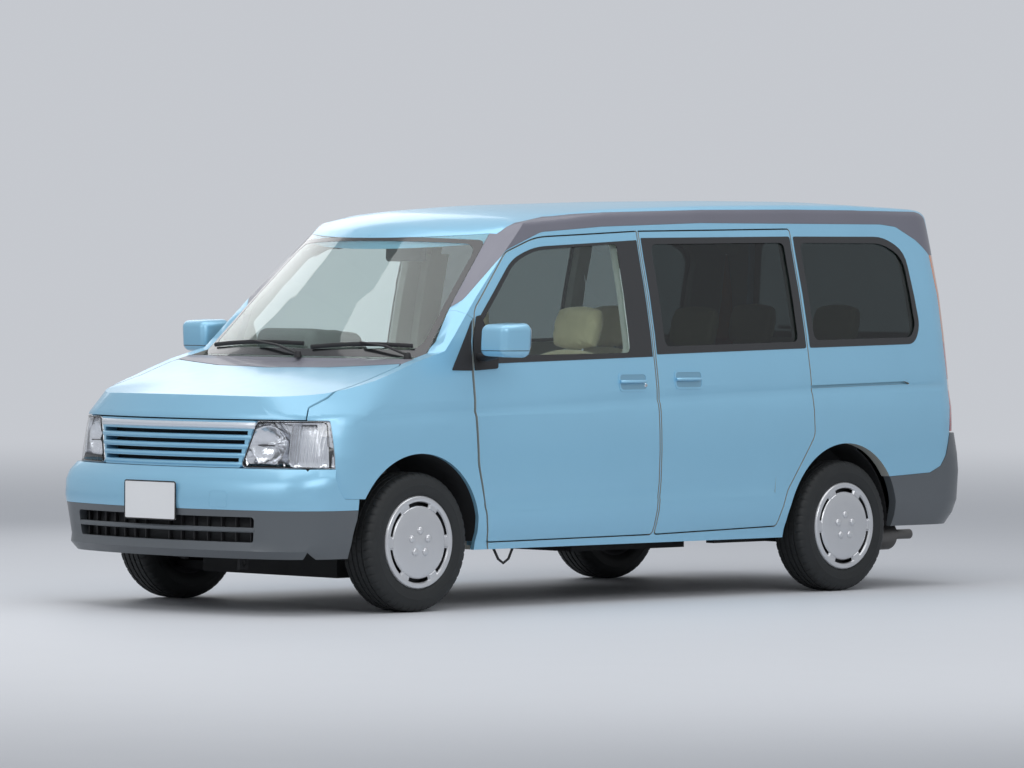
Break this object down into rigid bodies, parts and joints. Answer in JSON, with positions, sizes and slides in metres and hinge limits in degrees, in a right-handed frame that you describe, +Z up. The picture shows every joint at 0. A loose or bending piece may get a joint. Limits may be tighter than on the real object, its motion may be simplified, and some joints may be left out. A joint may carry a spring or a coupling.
{
  "type": "minivan",
  "caption": "Tall one-box family van on four wheels with a short sloping hood, two hinged front doors, one sliding side door and a lifting tailgate.",
  "frame": {"origin": "on the ground at mid-length and mid-width, under the middle of the van", "axes": "+Z up, +Y towards the tail, +X towards the vehicle's left side, so the nose points to -Y"},
  "size_m": [2.1526, 4.67, 1.8449],
  "materials": {
    "body_paint": "metallic light blue",
    "grey_trim": "grey satin",
    "glass": "clear tinted",
    "tyre": "matt",
    "wheel_silver": "silver paint",
    "lamp_clear": "clear lens",
    "lamp_red": "red lens",
    "seat_cloth": "woven",
    "cabin_plastic": "grained",
    "under_paint": "satin",
    "plate_white": "plain white",
    "exhaust_steel": "dull",
    "cast_black": "matt"
  },
  "bodies": {
    "root": {"sliding_door": "body_paint", "sliding_door_glass": "glass", "quarter_glass_left": "glass", "side_glass_right": "glass", "body_side_left": "body_paint", "body_side_right": "body_paint", "fender_left": "body_paint", "fender_right": "body_paint", "headlamp_left": "lamp_clear", "headlamp_right": "lamp_clear", "grille": "body_paint", "front_bumper": "body_paint", "front_bumper_lower": "grey_trim", "rear_bumper": "grey_trim", "tail_lamp_left": "lamp_red", "tail_lamp_right": "lamp_red", "windscreen": "glass", "roof": "body_paint", "roof_garnish_left": "grey_trim", "roof_garnish_right": "grey_trim", "cowl": "grey_trim", "front_subframe": "cast_black", "floor_pan": "under_paint", "front_structure": "under_paint", "engine_block": "cast_black", "fuel_tank": "cast_black", "rear_axle": "cast_black", "exhaust": "exhaust_steel", "front_seats": "seat_cloth", "middle_seat": "seat_cloth", "rear_seat": "seat_cloth", "dashboard": "cabin_plastic", "front_plate": "plate_white"},
    "hood": {"hood": "body_paint"},
    "door_front_left": {"door_front_left": "body_paint", "door_glass_left": "glass", "mirror_left": "body_paint"},
    "door_front_right": {"door_front_right": "body_paint", "door_glass_right": "glass", "mirror_right": "body_paint"},
    "tailgate": {"tailgate": "body_paint", "tailgate_glass": "glass"},
    "knuckle_left": {"knuckle_left": "cast_black"},
    "knuckle_right": {"knuckle_right": "cast_black"},
    "steering_wheel": {"steering_wheel": "cabin_plastic"},
    "wheel_front_left": {"tyre_front_left": "tyre", "wheel_front_left": "wheel_silver"},
    "wheel_front_right": {"tyre_front_right": "tyre", "wheel_front_right": "wheel_silver"},
    "wheel_rear_left": {"tyre_rear_left": "tyre", "wheel_rear_left": "wheel_silver"},
    "wheel_rear_right": {"tyre_rear_right": "tyre", "wheel_rear_right": "wheel_silver"}
  },
  "joints": [
    {"name": "hood_hinge", "type": "hinge", "parent": "root", "child": "hood", "pos_m": [0, -1.512, 1.092], "axis": [-1, 0, 0], "range_deg": [0, 55]},
    {"name": "door_left_hinge", "type": "hinge", "parent": "root", "child": "door_front_left", "pos_m": [0.849, -1.1465, 0.7], "axis": [0, 0, -1], "range_deg": [0, 65]},
    {"name": "door_right_hinge", "type": "hinge", "parent": "root", "child": "door_front_right", "pos_m": [-0.849, -1.1465, 0.7], "axis": [0, 0, 1], "range_deg": [0, 65]},
    {"name": "tailgate_hinge", "type": "hinge", "parent": "root", "child": "tailgate", "pos_m": [0, 2.2265, 1.7865], "axis": [1, 0, 0], "range_deg": [0, 85]},
    {"name": "steer_left", "type": "hinge", "parent": "root", "child": "knuckle_left", "pos_m": [0.675, -1.497, 0.308], "axis": [-0.2672, 0, 0.9636], "range_deg": [-35, 35]},
    {"name": "steer_right", "type": "hinge", "parent": "root", "child": "knuckle_right", "pos_m": [-0.675, -1.497, 0.308], "axis": [0.2672, 0, 0.9636], "range_deg": [-35, 35]},
    {"name": "steering_wheel_turn", "type": "hinge", "parent": "root", "child": "steering_wheel", "pos_m": [-0.37, -0.7822, 1.0609], "axis": [0, 0.8192, 0.5736], "range_deg": [-560, 560]},
    {"name": "roll_front_left", "type": "hinge", "parent": "knuckle_left", "child": "wheel_front_left", "pos_m": [0.742, -1.497, 0.308], "axis": [1, 0, 0], "continuous": true},
    {"name": "roll_front_right", "type": "hinge", "parent": "knuckle_right", "child": "wheel_front_right", "pos_m": [-0.742, -1.497, 0.308], "axis": [1, 0, 0], "continuous": true},
    {"name": "roll_rear_left", "type": "hinge", "parent": "root", "child": "wheel_rear_left", "pos_m": [0.742, 1.306, 0.308], "axis": [1, 0, 0], "continuous": true},
    {"name": "roll_rear_right", "type": "hinge", "parent": "root", "child": "wheel_rear_right", "pos_m": [-0.742, 1.306, 0.308], "axis": [1, 0, 0], "continuous": true}
  ],
  "couplings": [
    {"joint": "steer_right", "follows": "steer_left", "ratio": 1},
    {"joint": "steering_wheel_turn", "follows": "steer_left", "ratio": 16}
  ]
}
